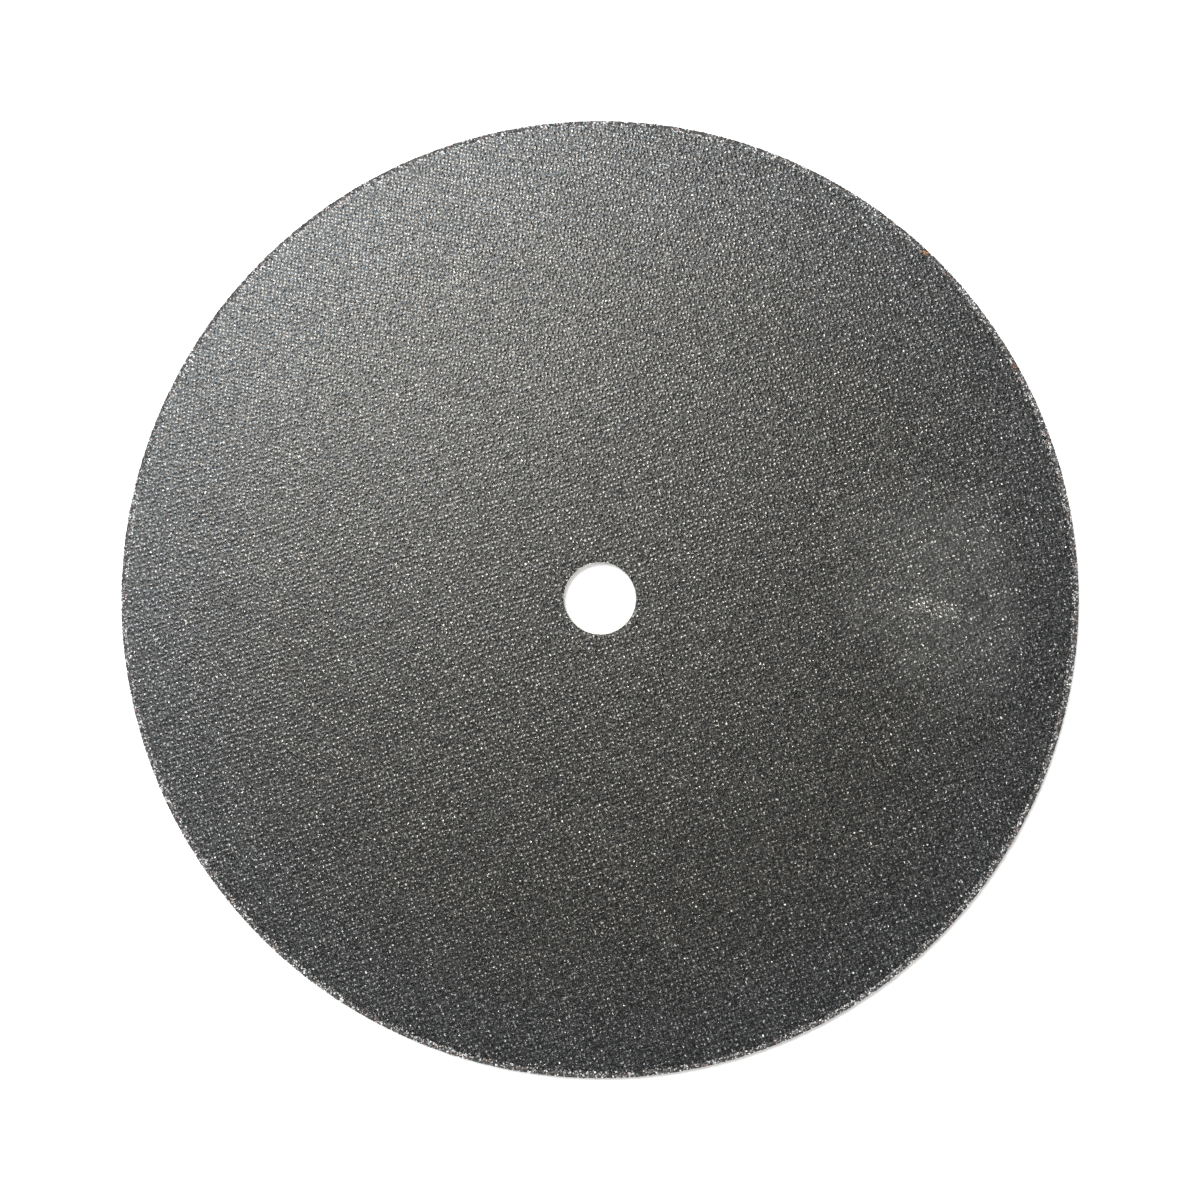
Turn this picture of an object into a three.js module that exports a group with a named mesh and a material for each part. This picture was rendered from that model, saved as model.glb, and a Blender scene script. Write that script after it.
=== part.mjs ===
// Flat reinforced cut-off wheel, 300 x 3.2 x 22.23 mm: a resin-bonded abrasive disc pressed from
// stacked layers. Millimetres, +Z up. The wheel lies on its rear face: the origin is the bore's centre
// on that face, +Z is the spin axis, and the front face looks up.

import * as THREE from 'three';

// ---- driving dimensions ----

const WHEEL_DIAMETER = 300;
const BORE_DIAMETER = 22.23;

const FACING_THICKNESS = 0.25;
const MESH_THICKNESS = 0.4;
const ABRASIVE_THICKNESS = 0.75; // each of the two layers, between its nets

const RIM_BAND = 1.5; // raw abrasive left uncovered round the edge of both faces
const RIM_CHAMFER = 0.25;

const BUSH_WALL = 0.25;
const BUSH_FLANGE_DIAMETER = 32;
const BUSH_RECESS = 0.1; // how far the sleeve's front end stops below the front face
const BUSH_CHAMFER = 0.1;

const SEGMENTS = 96;

// ---- radii and heights that follow from them ----

const RIM_RADIUS = WHEEL_DIAMETER / 2;
const COVER_RADIUS = RIM_RADIUS - RIM_BAND;
const BORE_RADIUS = BORE_DIAMETER / 2;
const HOLE_RADIUS = BORE_RADIUS + BUSH_WALL;
const FLANGE_RADIUS = BUSH_FLANGE_DIAMETER / 2;

// Heights of the layer boundaries, from the rear face up.
const REAR_FACING_TOP = FACING_THICKNESS;
const REAR_MESH_TOP = REAR_FACING_TOP + MESH_THICKNESS;
const REAR_ABRASIVE_TOP = REAR_MESH_TOP + ABRASIVE_THICKNESS;
const CENTRE_MESH_TOP = REAR_ABRASIVE_TOP + MESH_THICKNESS;
const FRONT_ABRASIVE_TOP = CENTRE_MESH_TOP + ABRASIVE_THICKNESS;
const FRONT_MESH_TOP = FRONT_ABRASIVE_TOP + MESH_THICKNESS;
const FRONT_FACE = FRONT_MESH_TOP + FACING_THICKNESS;
const MID_PLANE = FRONT_FACE / 2;

// ---- materials ----

function finish(color, roughness, metalness = 0) {
  return new THREE.MeshStandardMaterial({ color, roughness, metalness });
}

const facingCloth = () => finish(0x5c5d5a, 0.72);
const bondedGrit = () => finish(0x756b60, 0.9);
const glassNet = () => finish(0xc8b98e, 0.55);
const tinplate = () => finish(0xb8b8b2, 0.35, 1);

// ---- shapes ----

// A ring swept round +Z from a closed profile of [radius, height] corners, listed anticlockwise.
function ring(name, corners, material) {
  const profile = [...corners, corners[0]].map(([radius, height]) => new THREE.Vector2(radius, height));
  const geometry = new THREE.LatheGeometry(profile, SEGMENTS);
  geometry.rotateX(Math.PI / 2);
  const mesh = new THREE.Mesh(geometry, material);
  mesh.name = name;
  return mesh;
}

function flatRing(name, innerRadius, outerRadius, bottom, top, material) {
  const corners = [
    [innerRadius, bottom],
    [outerRadius, bottom],
    [outerRadius, top],
    [innerRadius, top],
  ];
  return ring(name, corners, material);
}

// Grit and resin between two nets. Outside the nets the layer thickens into a lip, which runs from the
// mid-plane to the face, so that the whole rim is raw abrasive.
function rearAbrasive() {
  const corners = [
    [HOLE_RADIUS, REAR_MESH_TOP],
    [COVER_RADIUS, REAR_MESH_TOP],
    [COVER_RADIUS, 0],
    [RIM_RADIUS - RIM_CHAMFER, 0],
    [RIM_RADIUS, RIM_CHAMFER],
    [RIM_RADIUS, MID_PLANE],
    [COVER_RADIUS, MID_PLANE],
    [COVER_RADIUS, REAR_ABRASIVE_TOP],
    [HOLE_RADIUS, REAR_ABRASIVE_TOP],
  ];
  return ring('rear_abrasive_layer', corners, bondedGrit());
}

function frontAbrasive() {
  const corners = [
    [HOLE_RADIUS, CENTRE_MESH_TOP],
    [COVER_RADIUS, CENTRE_MESH_TOP],
    [COVER_RADIUS, MID_PLANE],
    [RIM_RADIUS, MID_PLANE],
    [RIM_RADIUS, FRONT_FACE - RIM_CHAMFER],
    [RIM_RADIUS - RIM_CHAMFER, FRONT_FACE],
    [COVER_RADIUS, FRONT_FACE],
    [COVER_RADIUS, FRONT_ABRASIVE_TOP],
    [HOLE_RADIUS, FRONT_ABRASIVE_TOP],
  ];
  return ring('front_abrasive_layer', corners, bondedGrit());
}

// Sheet-metal sleeve that lines the bore. Its flange is let into the rear facing, flush with the rear
// face, and its front end is broken to a small chamfer inside.
function arborBush() {
  const sleeveEnd = FRONT_FACE - BUSH_RECESS;
  const corners = [
    [BORE_RADIUS, 0],
    [FLANGE_RADIUS, 0],
    [FLANGE_RADIUS, REAR_FACING_TOP],
    [HOLE_RADIUS, REAR_FACING_TOP],
    [HOLE_RADIUS, sleeveEnd],
    [BORE_RADIUS + BUSH_CHAMFER, sleeveEnd],
    [BORE_RADIUS, sleeveEnd - BUSH_CHAMFER],
  ];
  return ring('arbor_bush', corners, tinplate());
}

// ---- the wheel, from the rear face to the front face ----

const wheel = new THREE.Group();
wheel.name = 'cut_off_wheel';
wheel.add(
  flatRing('rear_facing', FLANGE_RADIUS, COVER_RADIUS, 0, REAR_FACING_TOP, facingCloth()),
  flatRing('rear_glass_mesh', HOLE_RADIUS, COVER_RADIUS, REAR_FACING_TOP, REAR_MESH_TOP, glassNet()),
  rearAbrasive(),
  flatRing('centre_glass_mesh', HOLE_RADIUS, COVER_RADIUS, REAR_ABRASIVE_TOP, CENTRE_MESH_TOP, glassNet()),
  frontAbrasive(),
  flatRing('front_glass_mesh', HOLE_RADIUS, COVER_RADIUS, FRONT_ABRASIVE_TOP, FRONT_MESH_TOP, glassNet()),
  flatRing('front_facing', HOLE_RADIUS, COVER_RADIUS, FRONT_MESH_TOP, FRONT_FACE, facingCloth()),
  arborBush(),
);

export default wheel;
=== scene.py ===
"""Flat reinforced cut-off wheel, 300 x 3.2 x 22.23 mm, lying on its rear face."""

import math

import bpy
import numpy as np
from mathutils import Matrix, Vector
from mathutils.geometry import delaunay_2d_cdt


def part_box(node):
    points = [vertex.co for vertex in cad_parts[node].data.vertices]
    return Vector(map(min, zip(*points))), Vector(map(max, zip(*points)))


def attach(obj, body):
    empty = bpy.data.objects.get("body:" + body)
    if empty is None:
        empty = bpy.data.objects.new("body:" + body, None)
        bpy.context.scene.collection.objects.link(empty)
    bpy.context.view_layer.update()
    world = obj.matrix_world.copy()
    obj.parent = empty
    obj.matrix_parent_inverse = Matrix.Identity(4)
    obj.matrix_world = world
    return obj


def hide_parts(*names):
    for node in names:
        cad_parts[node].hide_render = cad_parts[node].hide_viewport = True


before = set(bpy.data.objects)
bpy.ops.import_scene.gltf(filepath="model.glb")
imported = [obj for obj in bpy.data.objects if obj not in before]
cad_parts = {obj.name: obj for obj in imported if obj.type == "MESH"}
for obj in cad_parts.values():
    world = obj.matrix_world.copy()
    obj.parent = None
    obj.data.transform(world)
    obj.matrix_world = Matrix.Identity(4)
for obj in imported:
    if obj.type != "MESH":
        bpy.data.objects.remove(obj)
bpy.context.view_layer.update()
rng = np.random.default_rng(300)
MM = 0.001

# ---- sizes read from the frame, in millimetres ----


def heights(node):
    low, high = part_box(node)
    return low.z / MM, high.z / MM


RIM_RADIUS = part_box("front_abrasive_layer")[1].x / MM
COVER_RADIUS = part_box("front_facing")[1].x / MM
FLANGE_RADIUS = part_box("arbor_bush")[1].x / MM
HOLE_RADIUS = min(math.hypot(*v.co[:2]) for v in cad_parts["front_facing"].data.vertices) / MM
BORE_RADIUS = min(math.hypot(*v.co[:2]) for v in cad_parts["arbor_bush"].data.vertices) / MM
FRONT_FACE = heights("front_facing")[1]
MID_PLANE = FRONT_FACE / 2

# ---- the three textiles: (pitch in mm, direction of the wave across the threads in degrees) ----

WEAVE = ((1.542, 107.6), (1.375, 17.0))
DIMPLES = ((1.097, -5.1), (1.089, 78.0))
NET = ((4.14, 125.5), (3.30, 34.5))


def waves(textile):
    """2 x 2 matrix that turns millimetres into thread numbers."""
    return np.array(
        [
            [math.cos(math.radians(angle)) / pitch, math.sin(math.radians(angle)) / pitch]
            for pitch, angle in textile
        ]
    )


# ---- small helpers for meshes ----


def polar(radius, angle, z):
    return np.stack([radius * np.cos(angle), radius * np.sin(angle), z + 0 * angle], axis=-1)


def circle_angles(count):
    return np.arange(count) * (2 * math.pi / count)


def make_piece(name, points, faces, smooth=True):
    """Mesh object from points in millimetres and a list of faces."""
    mesh = bpy.data.meshes.new(name)
    mesh.from_pydata((np.asarray(points) * MM).tolist(), [], faces)
    mesh.polygons.foreach_set("use_smooth", np.full(len(mesh.polygons), smooth))
    mesh.update()
    piece = bpy.data.objects.new(name, mesh)
    bpy.context.scene.collection.objects.link(piece)
    return piece


def bridge(outer, inner):
    """Faces, facing up, from a ring of many points to a ring of fewer. outer is a multiple of inner."""
    step = len(outer) // len(inner)
    faces = []
    for k in range(len(inner)):
        following = (k + 1) % len(inner)
        fan = [outer[(k * step + s) % len(outer)] for s in range(step + 1)]
        faces.append([inner[k], *fan, inner[following]])
    return faces


# ---- facing: cloth imprint as real relief ----

OUTLINE_POINTS = 1440
HOLE_POINTS = 180
LATTICE_MARGIN = 1.15  # how far the grid of crowns keeps from the two outlines
BACK_RING_INSET = 5.0  # where the bonded side changes from many points to few
RELIEF = 0.04  # the imprint's depth, and how much any crown or hollow may differ
EDGE_DROP = 0.08  # the facing is thinner along its cut edges
EDGE_UNEVENNESS = 0.06
CROWN_STEP = 0.01  # every other crossing is lower, because the other thread lies on top
GRID_PLAY = 0.12


def cloth_drift(points):
    """How far the cloth's threads wander from a perfect grid, in mm."""
    x, y = points[..., 0], points[..., 1]
    return np.stack(
        [
            0.30 * np.sin(y / 17.0 + 0.6) + 0.18 * np.sin((x + y) / 9.5),
            0.30 * np.sin(x / 14.0 + 2.1) + 0.18 * np.sin((x - y) / 11.0 + 1.0),
        ],
        axis=-1,
    )


def relief_surface(inner_radius, turn):
    """Points, triangles and thread numbers of the imprinted face, with its highest crowns at z = 0.

    Every thread crossing is a crown with four hollows round it, and a strip of triangles joins this grid
    to the two round outlines. The first points are the outer outline and then the inner one.
    """
    rotation = np.array([[math.cos(turn), -math.sin(turn)], [math.sin(turn), math.cos(turn)]])
    to_threads = waves(WEAVE) @ rotation
    to_plane = np.linalg.inv(to_threads)
    reach = int(COVER_RADIUS / min(pitch for pitch, _ in WEAVE)) + 4
    size = 2 * reach + 1
    i, j = np.meshgrid(np.arange(-reach, reach + 1), np.arange(-reach, reach + 1), indexing="ij")

    crowns = np.stack([i, j], axis=-1) @ to_plane.T
    radius = np.linalg.norm(crowns - cloth_drift(crowns), axis=-1)
    kept = (radius > inner_radius + LATTICE_MARGIN) & (radius < COVER_RADIUS - LATTICE_MARGIN)
    hollows = np.stack([i + 0.5, j + 0.5], axis=-1) @ to_plane.T
    used = kept | np.roll(kept, -1, 0) | np.roll(kept, -1, 1) | np.roll(kept, (-1, -1), (0, 1))

    outline_angle, hole_angle = circle_angles(OUTLINE_POINTS), circle_angles(HOLE_POINTS)
    outline = polar(COVER_RADIUS, outline_angle, 0)[:, :2]
    hole = polar(inner_radius, hole_angle, 0)[:, :2]
    rings = np.concatenate([outline + cloth_drift(outline), hole + cloth_drift(hole)])
    first_crown = len(rings)
    crown_id = np.full((size, size), -1)
    crown_id[kept] = first_crown + np.arange(kept.sum())
    hollow_id = np.full((size, size), -1)
    hollow_id[used] = first_crown + kept.sum() + np.arange(used.sum())
    grid = np.concatenate([crowns[kept], hollows[used]])
    flat = np.concatenate([rings, grid])

    a, b = np.nonzero(kept)
    corner = [hollow_id[a - 1, b - 1], hollow_id[a, b - 1], hollow_id[a, b], hollow_id[a - 1, b]]
    neighbour = [kept[a, b - 1], kept[a + 1, b], kept[a, b + 1], kept[a - 1, b]]
    crown = crown_id[a, b]
    triangles, border = [], []
    for side in range(4):
        start, end = corner[side], corner[(side + 1) % 4]
        triangles.append(np.stack([crown, start, end], axis=-1))
        border.append(np.stack([start, end], axis=-1)[~neighbour[side]])
    triangles = np.concatenate(triangles)
    border = np.concatenate(border)

    # Triangles between the grid and the outlines.
    ring_edges = [(k, (k + 1) % OUTLINE_POINTS) for k in range(OUTLINE_POINTS)]
    ring_edges += [(OUTLINE_POINTS + k, OUTLINE_POINTS + (k + 1) % HOLE_POINTS) for k in range(HOLE_POINTS)]
    border_points = np.unique(border)
    local = {int(p): first_crown + n for n, p in enumerate(border_points)}
    edges = ring_edges + [(local[int(s)], local[int(e)]) for s, e in border]
    source = np.concatenate([np.arange(first_crown), border_points])
    vertices = [Vector(p) for p in flat[source]]
    out_points, _, out_faces, out_source, _, _ = delaunay_2d_cdt(vertices, edges, [], 0, 1e-7)
    back = [source[ids[0]] if ids else -1 for ids in out_source]
    strip = []
    for face in out_faces:
        middle = sum((out_points[v] for v in face), Vector((0, 0))) / 3
        cell = np.rint(to_threads @ np.array(middle)).astype(int) + reach
        inside_grid = kept[cell[0], cell[1]]
        in_hole = all(OUTLINE_POINTS <= back[v] < first_crown for v in face)
        if not inside_grid and not in_hole:
            strip.append([back[v] for v in face])
    strip = np.array(strip)

    # Heights: crowns where one thread passes over the other, alternately higher and lower.
    over = np.where((i + j) % 2 == 0, 0.0, -CROWN_STEP)[kept]
    crown_drop = over - rng.random(kept.sum()) * RELIEF
    hollow_drop = -RELIEF - rng.random(used.sum()) * RELIEF
    ring_drop = -EDGE_DROP - rng.random(first_crown) * EDGE_UNEVENNESS
    z = np.concatenate([ring_drop, crown_drop, hollow_drop])

    wander = (rng.random(grid.shape) - 0.5) * GRID_PLAY
    wander[np.isin(np.arange(first_crown, len(flat)), border_points)] = 0
    plane = np.concatenate([outline, hole, grid - cloth_drift(grid) + wander])
    points = np.column_stack([plane, z])
    threads = flat @ to_threads.T

    faces = np.concatenate([triangles, strip])
    p, q, r = (points[faces[:, k], :2] for k in range(3))
    area = (q[:, 0] - p[:, 0]) * (r[:, 1] - p[:, 1]) - (q[:, 1] - p[:, 1]) * (r[:, 0] - p[:, 0])
    faces[area < 0] = faces[area < 0][:, ::-1]
    return points, faces, threads


def facing(name, inner_radius, turn, facing_up):
    """One facing as a closed body: imprinted outer side, plain bonded side and two edges."""
    low, high = heights(name)
    thickness = high - low
    points, faces, threads = relief_surface(inner_radius, turn)
    top_count = len(points)

    # Bonded side: the outlines again, and a ring of fewer points between them.
    outline_angle, hole_angle = circle_angles(OUTLINE_POINTS), circle_angles(HOLE_POINTS)
    back_outline = polar(COVER_RADIUS, outline_angle, -thickness)
    back_hole = polar(inner_radius, hole_angle, -thickness)
    back_ring = polar(COVER_RADIUS - BACK_RING_INSET, hole_angle, -thickness)
    points = np.concatenate([points, back_outline, back_hole, back_ring])
    top_outline = list(range(OUTLINE_POINTS))
    top_hole = list(range(OUTLINE_POINTS, OUTLINE_POINTS + HOLE_POINTS))
    low_outline = list(range(top_count, top_count + OUTLINE_POINTS))
    low_hole = [top_count + OUTLINE_POINTS + k for k in range(HOLE_POINTS)]
    low_ring = [v + HOLE_POINTS for v in low_hole]
    polygons = faces.tolist()
    polygons += [face[::-1] for face in bridge(top_outline, low_outline)]
    polygons += [face[::-1] for face in bridge(low_outline, low_ring)]
    polygons += [face[::-1] for face in bridge(low_ring, low_hole)]
    polygons += bridge(top_hole, low_hole)
    if facing_up:
        points[:, 2] += high
    else:
        points[:, 2] = low - points[:, 2]
        polygons = [face[::-1] for face in polygons]
    piece = make_piece(name + "_cloth", points, polygons, smooth=False)

    weave = piece.data.attributes.new("weave", "FLOAT_VECTOR", "POINT")
    values = np.zeros((len(points), 3), np.float32)
    values[:top_count, :2] = threads
    weave.data.foreach_set("vector", values.ravel())
    return piece


# ---- node graphs ----


class Graph:
    """A material's node tree, built by short calls. A value is a number, a tuple or a socket."""

    def __init__(self, name):
        self.material = bpy.data.materials.new(name)
        self.material.use_nodes = True
        self.tree = self.material.node_tree
        self.shader = self.tree.nodes["Principled BSDF"]

    def node(self, kind, **settings):
        made = self.tree.nodes.new("ShaderNode" + kind)
        for key, value in settings.items():
            setattr(made, key, value)
        return made

    def feed(self, socket, value):
        if isinstance(value, bpy.types.NodeSocket):
            self.tree.links.new(value, socket)
        else:
            socket.default_value = value

    def math(self, operation, *values, clamp=False):
        made = self.node("Math", operation=operation, use_clamp=clamp)
        for socket, value in zip(made.inputs, values):
            self.feed(socket, value)
        return made.outputs[0]

    def vector(self, operation, *values, output=0):
        made = self.node("VectorMath", operation=operation)
        for socket, value in zip(made.inputs, values):
            self.feed(socket, value)
        return made.outputs[output]

    def scaled(self, value, factor):
        made = self.node("VectorMath", operation="SCALE")
        self.feed(made.inputs[0], value)
        made.inputs["Scale"].default_value = factor
        return made.outputs[0]

    def remap(self, value, low, high, to_low=0.0, to_high=1.0):
        made = self.node("MapRange", interpolation_type="SMOOTHSTEP")
        for socket, number in zip(made.inputs, (value, low, high, to_low, to_high)):
            self.feed(socket, number)
        return made.outputs[0]

    def ramp(self, value, stops):
        made = self.node("ValToRGB")
        elements = made.color_ramp.elements
        while len(elements) < len(stops):
            elements.new(0.5)
        for element, (position, colour) in zip(elements, stops):
            element.position = position
            element.color = (*colour, 1)
        self.feed(made.inputs[0], value)
        return made.outputs[0]

    def mix(self, factor, first, second, blend="MIX"):
        made = self.node("Mix", data_type="RGBA", blend_type=blend)
        colours = [s for s in made.inputs if s.type == "RGBA"]
        self.feed(made.inputs[0], factor)
        for socket, value in zip(colours, (first, second)):
            self.feed(socket, (*value, 1) if isinstance(value, tuple) else value)
        return next(s for s in made.outputs if s.type == "RGBA")

    def noise(self, vector, size, detail=2.0):
        """Noise whose features are about size mm across. vector is in mm."""
        made = self.node("TexNoise", noise_dimensions="3D")
        self.feed(made.inputs["Vector"], vector)
        made.inputs["Scale"].default_value = 1 / size
        made.inputs["Detail"].default_value = detail
        return made.outputs["Fac"]

    def cells(self, vector, size, randomness=1.0, dimensions="3D"):
        """Voronoi cells, size across: distance to the cell's point, its random colour and its place."""
        made = self.node("TexVoronoi", voronoi_dimensions=dimensions)
        self.feed(made.inputs["Vector"], vector)
        made.inputs["Scale"].default_value = 1 / size
        made.inputs["Randomness"].default_value = randomness
        return made.outputs["Distance"], made.outputs["Color"], made.outputs["Position"]

    def tilt(self, vector, place, colour):
        """Height of a facet that is tipped by its cell's random colour."""
        across = self.vector("SUBTRACT", vector, place)
        return self.vector("DOT_PRODUCT", across, self.vector("SUBTRACT", colour, (0.5, 0.5, 0.5)), output=1)

    def channel(self, colour, index):
        made = self.node("SeparateColor")
        self.feed(made.inputs[0], colour)
        return made.outputs[index]

    def weighted(self, *terms):
        """Sum of values times weights."""
        total = 0.0
        for value, weight in terms:
            total = self.math("MULTIPLY_ADD", value, weight, total)
        return total

    def ridge(self, threads, axis):
        """1 along the middle of each thread across the axis, falling off to 0 between threads."""
        made = self.node("SeparateXYZ")
        self.feed(made.inputs[0], threads)
        turn = self.math("MULTIPLY", made.outputs[axis], 2 * math.pi)
        wave = self.math("MULTIPLY_ADD", self.math("COSINE", turn), 0.5, 0.5)
        return self.math("POWER", wave, 2.5)

    def within(self, mm, centre, radii, degrees):
        """Place measured from a centre on the front face, in units of a turned ellipse's radii."""
        made = self.node("Mapping", vector_type="TEXTURE")
        self.feed(made.inputs["Vector"], mm)
        made.inputs["Location"].default_value = (*centre, FRONT_FACE)
        made.inputs["Rotation"].default_value = (0, 0, math.radians(degrees))
        made.inputs["Scale"].default_value = (*radii, 1.0)
        return made.outputs[0]

    def spot(self, mm, centre, radii, degrees, ragged=0.0, grain=4.0):
        """1 inside a soft ellipse on the front face, 0 outside. ragged makes its edge uneven."""
        away = self.vector("LENGTH", self.within(mm, centre, radii, degrees), output=1)
        if ragged:
            away = self.math("MULTIPLY_ADD", self.noise(mm, grain, 4), ragged, away)
        return self.remap(away, 1.0 + ragged / 2, 0.25 + ragged / 2)

    def threads(self, vector, textile):
        """Thread numbers of a textile at a place given in mm."""
        rows = waves(textile)
        u = self.vector("DOT_PRODUCT", vector, (rows[0][0], rows[0][1], 0), output=1)
        v = self.vector("DOT_PRODUCT", vector, (rows[1][0], rows[1][1], 0), output=1)
        made = self.node("CombineXYZ")
        self.feed(made.inputs[0], u)
        self.feed(made.inputs[1], v)
        return made.outputs[0]

    def millimetres(self):
        return self.scaled(self.node("TexCoord").outputs["Object"], 1 / MM)

    def bump(self, height, strength, distance_mm):
        made = self.node("Bump")
        made.inputs["Strength"].default_value = strength
        made.inputs["Distance"].default_value = distance_mm * MM
        self.feed(made.inputs["Height"], height)
        return made.outputs[0]

    def finish(self, colour=None, roughness=None, normal=None, metallic=None):
        for name, value in (
            ("Base Color", colour),
            ("Roughness", roughness),
            ("Normal", normal),
            ("Metallic", metallic),
        ):
            if value is not None:
                self.feed(self.shader.inputs[name], value)
        return self.material


BARE_TONE = -9.15  # exponent of the darkest resin, before any pattern adds to it
RESIN_TINT = (1.10, 1.0, 0.86)
RIM_TINT_SHIFT = (-0.04, 0.02, 0.14)  # towards the rim the colour turns a little cooler
RESIN_IOR = 1.6
DUST_COLOUR = (0.125, 0.122, 0.117)
SMUDGE_CENTRE = (106, 3)


def facing_material():
    """Dark resin with the imprint of the cloth. Its lightness is the exponential of a sum of patterns,
    painted highlights on the raised dots among them.
    """
    g = Graph("facing_cloth")
    mm = g.millimetres()
    weave = g.node("Attribute", attribute_name="weave").outputs["Vector"]

    # Crowns of the weave: one jittered dot at each crossing, each with its own strength and tilt. Their
    # lighter colour is partly worn tops and partly a painted highlight.
    distance, colour, place = g.cells(weave, 1.0, randomness=0.50, dimensions="2D")
    strength = g.math("MULTIPLY_ADD", g.channel(colour, 2), 1.0, 0.3)
    crown_spot = g.remap(distance, 0.40, 0.20)
    crown = g.math("MULTIPLY", crown_spot, strength)
    steepness = g.math("MULTIPLY_ADD", g.channel(colour, 1), 0.6, 0.7)
    cone = g.math("MULTIPLY", g.math("MAXIMUM", g.math("SUBTRACT", 0.38, distance), 0.0), steepness)
    tip = g.math("MULTIPLY", g.tilt(weave, place, colour), crown_spot)

    # Finer dots from the cloth's own yarn: glossy bumps, whose lighter colour is a painted highlight.
    fine = g.threads(mm, DIMPLES)
    distance, colour, _ = g.cells(fine, 1.0, randomness=0.25, dimensions="2D")
    dimple_spot = g.remap(distance, 0.45, 0.12)
    dimple = g.math("MULTIPLY", dimple_spot, g.math("MULTIPLY_ADD", g.channel(colour, 0), 0.6, 0.6))

    # Strands of the glass net that show through.
    net = g.threads(mm, NET)
    net_ridge = g.math("ADD", g.ridge(net, 0), g.ridge(net, 1))

    # Grain of the resin and grit, about a third of a millimetre, and broad patches.
    _, grain_colour, grain_place = g.cells(mm, 0.34)
    grain = g.channel(grain_colour, 0)
    facet = g.tilt(mm, grain_place, grain_colour)
    facet = g.math("MULTIPLY", facet, g.math("MULTIPLY_ADD", dimple_spot, -0.85, 1.0))
    coarse = g.channel(g.cells(mm, 0.27)[1], 1)
    patches = g.noise(mm, 22.0, 3)
    warp = g.ridge(weave, 1)

    # Handling marks on the front face: a smudge of dust, wiped in one direction, with scuffs in it.
    dust = g.spot(mm, SMUDGE_CENTRE, (36, 50), 15, ragged=1.0, grain=16.0)
    scuffs = g.math(
        "ADD",
        g.spot(mm, (123.5, 31.5), (6.0, 1.6), 35, 0.6, 1.5),
        g.spot(mm, (104, -3), (13, 5.0), -12, 1.1, 1.2),
    )
    rubbed = g.spot(mm, (120, -3), (17, 4.0), -62, 0.9, 4.0)
    wiped = g.noise(g.within(mm, SMUDGE_CENTRE, (15.0, 1.3), 42), 1.0, 3)
    haze = g.math("MULTIPLY", dust, g.remap(wiped, 0.32, 0.68, 0.04, 0.34))

    # The whole margin is a little paler.
    radius = g.vector("LENGTH", g.vector("MULTIPLY", mm, (1, 1, 0)), output=1)
    paler_margin = g.remap(radius, 96.0, 146.0)

    # In the colour, the dimple term is a painted highlight on the yarn's bumps, and the crown term is partly
    # worn crown tops and partly a painted highlight.
    tone = g.weighted(
        (crown, 1.45), (warp, 0.55), (dimple, 1.2), (net_ridge, 0.25),
        (grain, 3.55), (coarse, 3.0), (patches, 0.7),
        (dust, 0.5), (scuffs, 1.1), (rubbed, -0.5), (paler_margin, 0.2),
    )
    light = g.math("EXPONENT", g.math("ADD", tone, BARE_TONE))
    tint = g.node("CombineColor")
    for socket, share, shift in zip(tint.inputs[:3], RESIN_TINT, RIM_TINT_SHIFT):
        g.feed(socket, g.math("MULTIPLY", light, g.math("MULTIPLY_ADD", paler_margin, shift, share)))
    base = g.mix(haze, tint.outputs[0], DUST_COLOUR)
    gloss = g.weighted((dimple, 1.4), (crown, 1.05), (coarse, 0.3))
    roughness = g.remap(gloss, 0.1, 1.5, 0.43, 0.17)
    height = g.weighted((cone, 0.225), (dimple, 0.003), (tip, 0.12), (facet, 0.24))
    g.shader.inputs["IOR"].default_value = RESIN_IOR
    return g.finish(base, roughness, g.bump(height, 1.0, 1.0))


def grit_material():
    g = Graph("bonded_grit")
    mm = g.millimetres()
    grain = g.node("Attribute", attribute_name="grain").outputs["Color"]
    distance, colour, _ = g.cells(mm, 0.3)
    shade = g.math("MULTIPLY_ADD", g.channel(colour, 0), 0.9, 0.55)
    tint = g.node("CombineColor")
    for socket in tint.inputs[:3]:
        g.feed(socket, shade)
    base = g.mix(1.0, grain, tint.outputs[0], blend="MULTIPLY")
    roughness = g.remap(g.channel(colour, 1), 0.0, 1.0, 0.45, 0.9)
    return g.finish(base, roughness, g.bump(distance, 0.5, 0.1))


def tin_material():
    g = Graph("tinplate")
    mm = g.millimetres()
    stretched = g.vector("MULTIPLY", mm, (1.0, 1.0, 6.0))
    streaks = g.noise(stretched, 0.8, 4)
    blotches = g.noise(mm, 4.0, 3)
    base = g.ramp(blotches, [(0.3, (0.30, 0.285, 0.26)), (0.7, (0.56, 0.54, 0.51))])
    roughness = g.remap(streaks, 0.3, 0.7, 0.38, 0.6)
    g.shader.inputs["Metallic"].default_value = 1.0
    return g.finish(base, roughness, g.bump(streaks, 0.15, 0.05))


def net_material():
    g = Graph("glass_net")
    mm = g.millimetres()
    resin = g.noise(mm, 6.0, 3)
    base = g.ramp(resin, [(0.3, (0.42, 0.30, 0.13)), (0.7, (0.66, 0.56, 0.34))])
    fibres = g.noise(mm, 0.25, 2)
    return g.finish(base, g.remap(fibres, 0.3, 0.7, 0.35, 0.6), g.bump(fibres, 0.4, 0.05))


# ---- abrasive layer: resin ring and real grains on its lip ----

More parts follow.
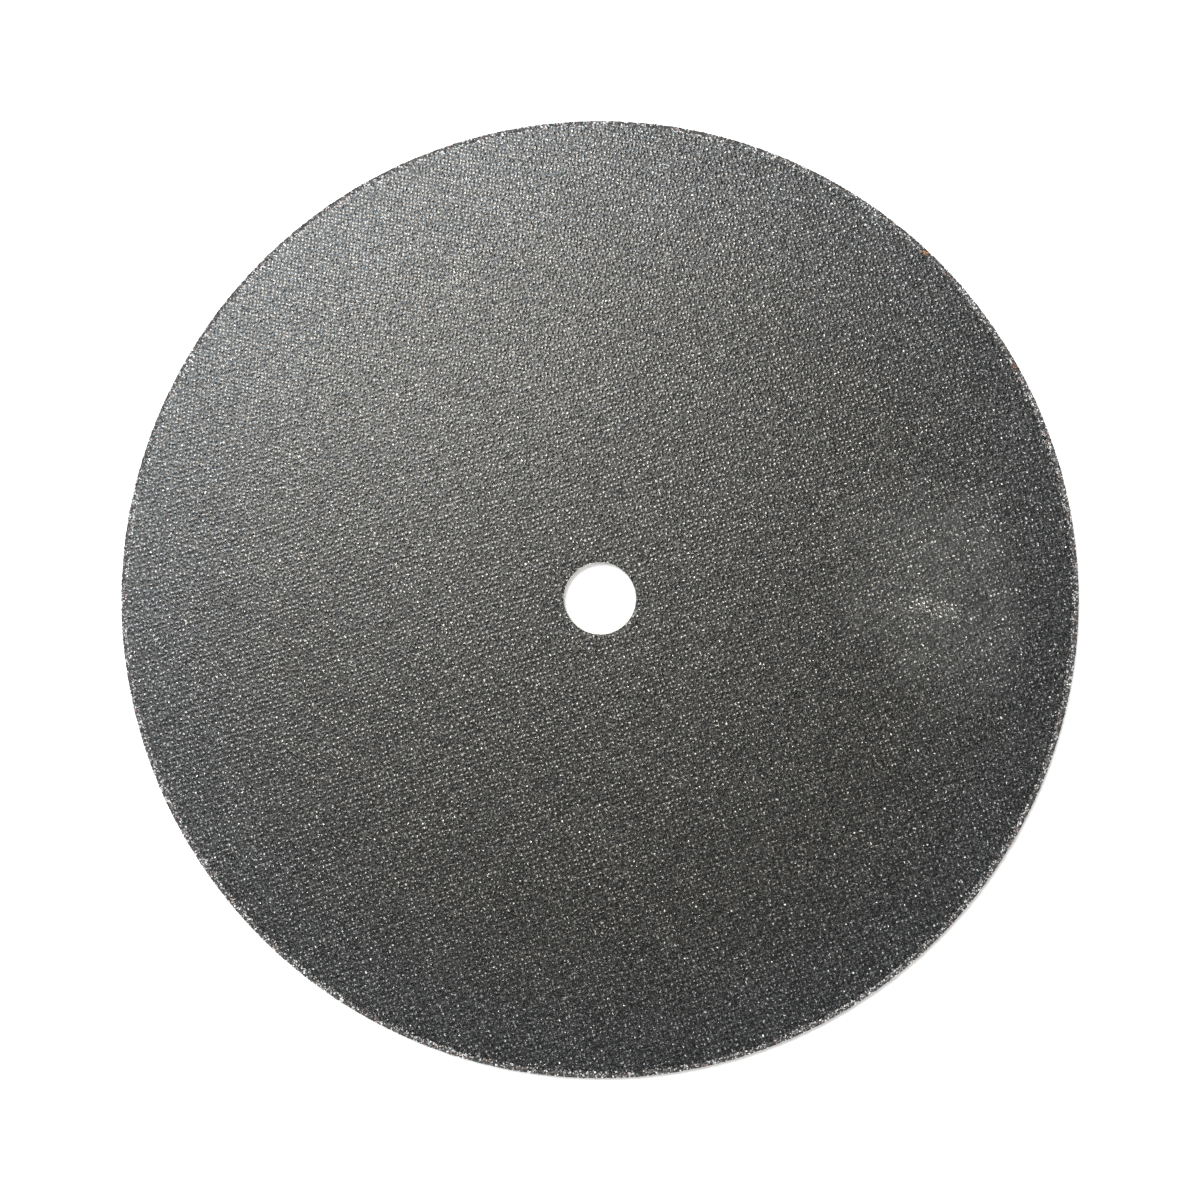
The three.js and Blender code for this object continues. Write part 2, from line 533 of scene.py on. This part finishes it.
LIP_POINTS = 960
LIP_SECTIONS = 11
FINE_LIP_SECTIONS = 200  # places along the lip where a grain may sit
LIP_DEPTH = 0.12  # how far the resin lies behind the tips of the grains
LIP_CORNER = 0.3
LIP_ROUGHNESS = 0.03
LIP_ROUGHNESS_LIMIT = 0.1
GRAIN_COLUMNS = 1600
GRAIN_ROWS = 6
GRAIN_SIZES = (0.17, 0.38)  # half of a grain's width, in mm
GRAIN_SINK = (0.1, 0.7)  # how deep it sits in the resin, as a share of its size
SPILLED_GRAINS = 4200
SPILLED_SIZES = (0.14, 0.32)
SPILLED_SINK = (0.3, 0.6)
SPILL_WIDTH = 1.5
GRAIN_COLOURS = (
    # share of the grains, colour
    (0.38, (0.035, 0.033, 0.032)),
    (0.20, (0.17, 0.15, 0.14)),
    (0.12, (0.42, 0.30, 0.27)),
    (0.30, (0.72, 0.69, 0.66)),
)
RESIN_COLOUR = (0.06, 0.054, 0.050)
RUST_COLOUR = (0.50, 0.24, 0.12)
RUST_SPOTS = ((46.8, 1.6), (29.2, 1.4))  # direction in degrees and reach in mm, on the front edge


def lip_profile(count):
    """Points (radius, height) and outward directions along the front lip, from the facing's edge over the
    rounded corner and down to the mid-plane."""
    inner, outer, top = COVER_RADIUS, RIM_RADIUS - LIP_DEPTH, FRONT_FACE - LIP_DEPTH
    corner = LIP_CORNER
    flat, arc, wall = outer - corner - inner, corner * math.pi / 2, top - corner - MID_PLANE
    points, directions = [], []
    for s in np.linspace(0, flat + arc + wall, count):
        if s < flat:
            points.append((inner + s, top))
            directions.append((0, 1))
        elif s < flat + arc:
            turn = (s - flat) / corner
            points.append((outer - corner + corner * math.sin(turn), top - corner + corner * math.cos(turn)))
            directions.append((math.sin(turn), math.cos(turn)))
        else:
            points.append((outer, top - corner - (s - flat - arc)))
            directions.append((1, 0))
    return np.array(points), np.array(directions)


def resin_ring():
    """The front abrasive layer without its grains, as a closed ring with a rough lip."""
    low, high = CORE_LOW, CORE_HIGH
    lip, directions = lip_profile(LIP_SECTIONS)
    angle = circle_angles(LIP_POINTS)
    rings = []
    for (radius, z), (out, up) in zip(lip, directions):
        rough = rng.normal(0, LIP_ROUGHNESS, LIP_POINTS)
        rough = np.clip(rough, -LIP_ROUGHNESS_LIMIT, LIP_ROUGHNESS_LIMIT)
        rings.append(np.stack(
            [(radius + out * rough) * np.cos(angle), (radius + out * rough) * np.sin(angle), z + up * rough],
            axis=-1,
        ))
    # The lip's end stays on the mid-plane, and then the section runs back under the nets to the bore.
    rings[-1][:, 2] = MID_PLANE
    rings.append(polar(COVER_RADIUS, angle, MID_PLANE))
    rings.append(polar(COVER_RADIUS, angle, low))
    few = circle_angles(HOLE_POINTS // 3 * 4)
    rings.append(polar(HOLE_RADIUS, few, low))
    rings.append(polar(HOLE_RADIUS, few, high))
    rings.append(polar(COVER_RADIUS, angle, high))
    points = np.concatenate(rings)
    faces = []
    start = np.cumsum([0] + [len(r) for r in rings])
    index = [list(range(start[k], start[k + 1])) for k in range(len(rings))]
    for k in range(len(rings)):
        first, second = index[k], index[(k + 1) % len(rings)]
        if len(first) >= len(second):
            faces += [face[::-1] for face in bridge(first, second)]
        else:
            faces += bridge(second, first)
    return points, faces


def unevenness(angle, size, waves_round=(2, 3, 5, 9, 16, 27)):
    """Slow variation round a circle, between about -size and size."""
    total = sum(np.sin(n * angle + rng.uniform(0, 7)) / n**0.5 for n in waves_round)
    return size * total / 2


def random_rotations(count):
    q = rng.normal(size=(count, 4))
    q /= np.linalg.norm(q, axis=1, keepdims=True)
    w, x, y, z = q.T
    return np.stack(
        [
            np.stack([1 - 2 * (y * y + z * z), 2 * (x * y - z * w), 2 * (x * z + y * w)], axis=-1),
            np.stack([2 * (x * y + z * w), 1 - 2 * (x * x + z * z), 2 * (y * z - x * w)], axis=-1),
            np.stack([2 * (x * z - y * w), 2 * (y * z + x * w), 1 - 2 * (x * x + y * y)], axis=-1),
        ],
        axis=1,
    )


CUBE_CORNERS = np.array([(x, y, z) for x in (-1, 1) for y in (-1, 1) for z in (-1, 1)], float)
CUBE_FACES = np.array(
    [(0, 1, 3, 2), (4, 6, 7, 5), (0, 4, 5, 1), (2, 3, 7, 6), (0, 2, 6, 4), (1, 5, 7, 3)]
)


def grains(rust_spots):
    """Points, faces and colours of the angular grains that stand out of the front lip."""
    fine, directions = lip_profile(FINE_LIP_SECTIONS)
    row, column = np.meshgrid(np.arange(GRAIN_ROWS), np.arange(GRAIN_COLUMNS), indexing="ij")
    along = (row + 0.5 + (rng.random(row.shape) - 0.5) * 0.9) / GRAIN_ROWS
    angle = (column + (row % 2) / 2 + (rng.random(row.shape) - 0.5) * 0.9) / GRAIN_COLUMNS * 2 * math.pi
    place = np.rint(along.ravel() * (FINE_LIP_SECTIONS - 1)).astype(int)
    angle = angle.ravel()
    size = rng.uniform(*GRAIN_SIZES, len(angle))
    sink = size * rng.uniform(*GRAIN_SINK, len(angle))
    radius = fine[place, 0] - directions[place, 0] * sink
    z = fine[place, 1] - directions[place, 1] * sink

    # Grains pressed into the facing's margin, in a band that is wider in some places than in others.
    strewn = rng.random(SPILLED_GRAINS) * 2 * math.pi
    band = SPILL_WIDTH * np.clip(0.55 + unevenness(strewn, 0.5, (3, 7, 12, 21, 38, 64)), 0.1, 1)
    strewn_size = rng.uniform(*SPILLED_SIZES, SPILLED_GRAINS)
    angle = np.concatenate([angle, strewn])
    radius = np.concatenate([radius, COVER_RADIUS + 0.2 - band * rng.random(SPILLED_GRAINS) ** 1.3])
    z = np.concatenate([z, FRONT_FACE - strewn_size * rng.uniform(*SPILLED_SINK, SPILLED_GRAINS)])
    size = np.concatenate([size, strewn_size])
    count = len(angle)
    centre = np.stack([radius * np.cos(angle), radius * np.sin(angle), z], axis=-1)
    corners = CUBE_CORNERS[None] * rng.uniform(0.45, 1.0, (count, 8, 3))
    corners = corners * rng.uniform(0.7, 1.25, (count, 1, 3)) * size[:, None, None]
    corners = np.einsum("nij,nkj->nki", random_rotations(count), corners) + centre[:, None]
    # Pressed flat against the mould: nothing stands out of the wheel's envelope.
    corners[..., 2] = np.minimum(corners[..., 2], FRONT_FACE)
    reach = np.hypot(corners[..., 0], corners[..., 1])
    corners[..., :2] *= np.minimum(1, RIM_RADIUS / reach)[..., None]
    corners[..., 2] = np.maximum(corners[..., 2], MID_PLANE + 0.002)
    faces = (CUBE_FACES[None] + 8 * np.arange(count)[:, None, None]).reshape(-1, 4)
    shares = np.array([share for share, _ in GRAIN_COLOURS])
    kind = rng.choice(len(GRAIN_COLOURS), count, p=shares / shares.sum())
    colour = np.array([c for _, c in GRAIN_COLOURS])[kind] * rng.uniform(0.7, 1.25, (count, 1))
    for degrees, reach in rust_spots:
        spot = polar(COVER_RADIUS, np.radians(degrees), FRONT_FACE)
        rusty = (np.linalg.norm(centre - spot, axis=1) < reach) & (kind > 0)
        colour[rusty] = np.array(RUST_COLOUR) * rng.uniform(0.6, 1.2, (rusty.sum(), 1))
    return corners.reshape(-1, 3), faces, np.repeat(colour, 8, axis=0)


def abrasive_layer(name, facing_up):
    ring_points, ring_faces = resin_ring()
    grain_points, grain_faces, grain_colour = grains(RUST_SPOTS if facing_up else ())
    points = np.concatenate([ring_points, grain_points])
    faces = ring_faces + (grain_faces + len(ring_points)).tolist()
    if not facing_up:
        points[:, 2] = FRONT_FACE - points[:, 2]
        faces = [face[::-1] for face in faces]
    piece = make_piece(name + "_grit", points, faces, smooth=False)
    colours = np.concatenate([np.tile(RESIN_COLOUR, (len(ring_points), 1)), grain_colour])
    attribute = piece.data.color_attributes.new("grain", "FLOAT_COLOR", "POINT")
    attribute.data.foreach_set("color", np.column_stack([colours, np.ones(len(colours))]).ravel())
    return piece


CORE_LOW = heights("centre_glass_mesh")[1]
CORE_HIGH = heights("front_glass_mesh")[0]


# ---- bush: drawn from sheet, with a round corner and a trimmed front lip ----

BUSH_POINTS = 540
SHEET = HOLE_RADIUS - BORE_RADIUS
BUSH_END = heights("arbor_bush")[1]
DRAWN_CORNER = 0.3  # bend between the sleeve and the flange
LIP_TRIM = 0.04
FLANGE_TRIM = 0.05


def arc(radius, z, bend, start, end, count=7):
    """Points of an arc in the section: its centre, its bend's radius and its two angles in degrees."""
    turn = np.radians(np.linspace(start, end, count))
    return np.column_stack([radius + bend * np.cos(turn), z + bend * np.sin(turn)])


def bush():
    wall_heights = np.linspace(SHEET, BUSH_END - 0.1, 9)[1:-1]
    outside = np.column_stack([np.full_like(wall_heights, HOLE_RADIUS), wall_heights])
    inside = np.column_stack([np.full_like(wall_heights, BORE_RADIUS), wall_heights + 0.06])[::-1]
    section = np.concatenate([
        arc(FLANGE_RADIUS - 0.07, 0.07, 0.07, -90, 0),
        arc(FLANGE_RADIUS - 0.05, SHEET - 0.05, 0.05, 0, 90),
        [(HOLE_RADIUS, SHEET)],
        outside,
        arc(HOLE_RADIUS - 0.06, BUSH_END - 0.06, 0.06, 0, 90),
        arc(BORE_RADIUS + 0.1, BUSH_END - 0.1, 0.1, 90, 180),
        inside,
        arc(BORE_RADIUS + DRAWN_CORNER, DRAWN_CORNER, DRAWN_CORNER, 180, 270),
        [(FLANGE_RADIUS - 3.2, 0), (FLANGE_RADIUS - 1.6, 0)],
    ])
    angle = circle_angles(BUSH_POINTS)
    radius, z = (np.repeat(values[:, None], BUSH_POINTS, axis=1) for values in section.T)
    # The lip was trimmed a little unevenly, the flange's edge too, and the sleeve has shallow dents.
    lip = np.clip((z - BUSH_END + 0.5) / 0.5, 0, 1)
    z = z - lip * (LIP_TRIM + unevenness(angle, 0.03))
    brim = np.clip((radius - FLANGE_RADIUS + 0.4) / 0.4, 0, 1)
    radius = radius - brim * (FLANGE_TRIM + unevenness(angle, 0.04))
    wall = (radius < HOLE_RADIUS - 0.01) & (z > 2 * SHEET)
    radius = radius + wall * (0.015 + unevenness(angle, 0.01))
    points = np.stack([radius * np.cos(angle), radius * np.sin(angle), z], axis=-1)
    index = np.arange(len(section) * BUSH_POINTS).reshape(len(section), BUSH_POINTS)
    turned, next_row = np.roll(index, -1, 1), np.roll(index, -1, 0)
    faces = np.stack([index, turned, np.roll(next_row, -1, 1), next_row], axis=-1)
    return make_piece("arbor_bush_pressing", points.reshape(-1, 3), faces.reshape(-1, 4).tolist())


# ---- glass nets: flat yarns, woven over and under ----

YARN_WIDTH = 1.3
YARN_HEIGHT = 0.18
YARN_LIFT = 0.095  # how far a yarn's middle rises and sinks at the crossings
YARN_PLAY = 0.12  # how far it wanders sideways


def stretches(offset, width, inner, outer):
    """Parts of a straight yarn, this far from the centre, that lie between the two circles."""
    far = abs(offset) + width / 2
    near = max(abs(offset) - width / 2, 0)
    if far > outer - 2:
        return []
    end = math.sqrt(outer**2 - far**2)
    if near >= inner:
        return [(-end, end)]
    start = math.sqrt(inner**2 - near**2)
    return [(-end, -start), (start, end)]


def tube_faces(first, sections):
    """Faces of a closed four-sided tube whose points are numbered section by section."""
    faces = []
    for k in range(sections - 1):
        here = first + 4 * k
        faces += [(here + c, here + 4 + c, here + 4 + (c + 1) % 4, here + (c + 1) % 4) for c in range(4)]
    last = first + 4 * (sections - 1)
    return faces + [(first, first + 1, first + 2, first + 3), (last + 3, last + 2, last + 1, last)]


def glass_net(name, turn):
    low, high = heights(name)
    inner, outer = HOLE_RADIUS + 2 * YARN_PLAY, COVER_RADIUS - 2 * YARN_PLAY
    pitches = [pitch for pitch, _ in NET]
    normals = [np.array([math.cos(a), math.sin(a)]) for a in (math.radians(d) + turn for _, d in NET)]
    points, faces = [], []
    for family, pitch in enumerate(pitches):
        other_pitch = pitches[1 - family]
        normal, other = normals[family], normals[1 - family]
        along = np.array([-normal[1], normal[0]])
        lean, rate = normal @ other, along @ other
        for yarn in range(-int(outer / pitch), int(outer / pitch) + 1):
            offset = yarn * pitch
            width = YARN_WIDTH * rng.uniform(0.88, 1.12)
            phase = rng.uniform(0, 7)
            for start, end in stretches(offset, width, inner, outer):
                # A section at each crossing and one between crossings.
                half_steps = np.arange(-2 * int(outer), 2 * int(outer)) / 2
                run = (half_steps * other_pitch - offset * lean) / rate
                run = np.sort(run[(run > start + 0.3) & (run < end - 0.3)])
                run = np.concatenate([[start], run, [end]])
                crossing = (offset * lean + run * rate) / other_pitch
                side = (-1) ** (yarn + family)
                rise = (low + high) / 2 + side * YARN_LIFT * np.cos(math.pi * crossing)
                play = YARN_PLAY * np.sin(run / 23 + phase)
                middle = run[:, None] * along + (offset + play)[:, None] * normal
                corners = [
                    np.column_stack([middle + across * normal, rise + up])
                    for across, up in (
                        (-width / 2, 0),
                        (0, -YARN_HEIGHT / 2),
                        (width / 2, 0),
                        (0, YARN_HEIGHT / 2),
                    )
                ]
                first = sum(len(p) for p in points)
                points.append(np.stack(corners, axis=1).reshape(-1, 3))
                faces += tube_faces(first, len(run))
    return make_piece(name + "_yarns", np.concatenate(points), faces)


# ---- assembly ----


def place(piece, node, slot, material):
    piece.data.materials.append(material)
    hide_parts(node)
    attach(piece, "root")


cloth, grit, tin, net = facing_material(), grit_material(), tin_material(), net_material()

place(facing("front_facing", HOLE_RADIUS, 0.0, True), "front_facing", "facing_cloth", cloth)
place(facing("rear_facing", FLANGE_RADIUS, 0.5, False), "rear_facing", "facing_cloth", cloth)
place(abrasive_layer("front_abrasive_layer", True), "front_abrasive_layer", "bonded_grit", grit)
place(abrasive_layer("rear_abrasive_layer", False), "rear_abrasive_layer", "bonded_grit", grit)

place(bush(), "arbor_bush", "tinplate", tin)
for node, turn in (("front_glass_mesh", 0.0), ("centre_glass_mesh", 0.4), ("rear_glass_mesh", 0.9)):
    place(glass_net(node, turn), node, "glass_net", net)


# ---- floor, lights and camera ----

scene = bpy.context.scene
scene.view_settings.view_transform = "Standard"


FLOOR_RADIUS = 20.0  # in metres: far enough that its edge meets the horizon
FLOOR_NEAR, FLOOR_FAR = 0.25, 1.5
NEAR_GLOW, FAR_GLOW = 0.5, 1.0


def floor():
    """Pale floor that glows a little, and more in the distance, so that it runs into the horizon."""
    bpy.ops.mesh.primitive_circle_add(vertices=96, radius=FLOOR_RADIUS, fill_type="NGON", location=(0, 0, 0))
    plane = bpy.context.object
    plane.name = "floor"
    g = Graph("pale_floor")
    g.shader.inputs["Base Color"].default_value = (0.9, 0.9, 0.9, 1)
    g.shader.inputs["Roughness"].default_value = 0.9
    g.shader.inputs["Emission Color"].default_value = (1, 1, 1, 1)
    distance = g.vector("LENGTH", g.node("TexCoord").outputs["Object"], output=1)
    glow = g.remap(distance, FLOOR_NEAR, FLOOR_FAR, NEAR_GLOW, FAR_GLOW)
    g.feed(g.shader.inputs["Emission Strength"], glow)
    plane.data.materials.append(g.material)


def area_light(name, place_m, width_m, height_m, power, colour):
    light = bpy.data.lights.new(name, "AREA")
    light.shape = "ELLIPSE"
    light.size = width_m
    light.size_y = height_m
    light.energy = power
    light.color = colour
    lamp = bpy.data.objects.new(name, light)
    lamp.location = place_m
    lamp.rotation_euler = (-Vector(place_m)).to_track_quat("-Z", "Y").to_euler()
    scene.collection.objects.link(lamp)


CAMERA_LENS = 60.0
SENSOR = 36.0
FRAME_WIDTH = 0.3756  # what the frame spans at the wheel, in metres
CAMERA_TILT = math.radians(0.6)
CAMERA_AIM = -0.0005  # the camera aims this far below the bore, in metres, to centre the wheel's outline


def camera():
    data = bpy.data.cameras.new("camera")
    data.lens = CAMERA_LENS
    data.sensor_width = SENSOR
    made = bpy.data.objects.new("camera", data)
    away = FRAME_WIDTH * CAMERA_LENS / SENSOR
    target = Vector((0, CAMERA_AIM, FRONT_FACE * MM))
    back = Vector((0, -math.sin(CAMERA_TILT), math.cos(CAMERA_TILT)))
    made.location = target + back * away
    made.rotation_mode = "QUATERNION"
    made.rotation_quaternion = (-back).to_track_quat("-Z", "Y")
    scene.collection.objects.link(made)
    scene.camera = made


floor()
area_light("window", (-0.24, 0.36, 1.15), 0.65, 0.30, 12, (1.0, 0.93, 0.84))
area_light("sky", (-0.52, 0.65, 1.15), 1.90, 0.40, 19.5, (0.64, 0.84, 1.0))
camera()

world = bpy.data.worlds.new("studio")
world.use_nodes = True
nodes, links = world.node_tree.nodes, world.node_tree.links
sky = nodes.new("ShaderNodeTexCoord")
split = nodes.new("ShaderNodeSeparateXYZ")
fade = nodes.new("ShaderNodeMapRange")
fade.interpolation_type = "SMOOTHSTEP"
# The surroundings are bright round the horizon and dim overhead.
BRIGHT_BELOW, DIM_ABOVE = 0.05, 0.3
BRIGHT, DIM = 1.0, 0.08
for socket, number in zip(fade.inputs[1:5], (BRIGHT_BELOW, DIM_ABOVE, BRIGHT, DIM)):
    socket.default_value = number
links.new(sky.outputs["Generated"], split.inputs[0])
links.new(split.outputs["Z"], fade.inputs[0])
links.new(fade.outputs[0], nodes["Background"].inputs["Color"])
nodes["Background"].inputs["Strength"].default_value = 1.0
scene.world = world
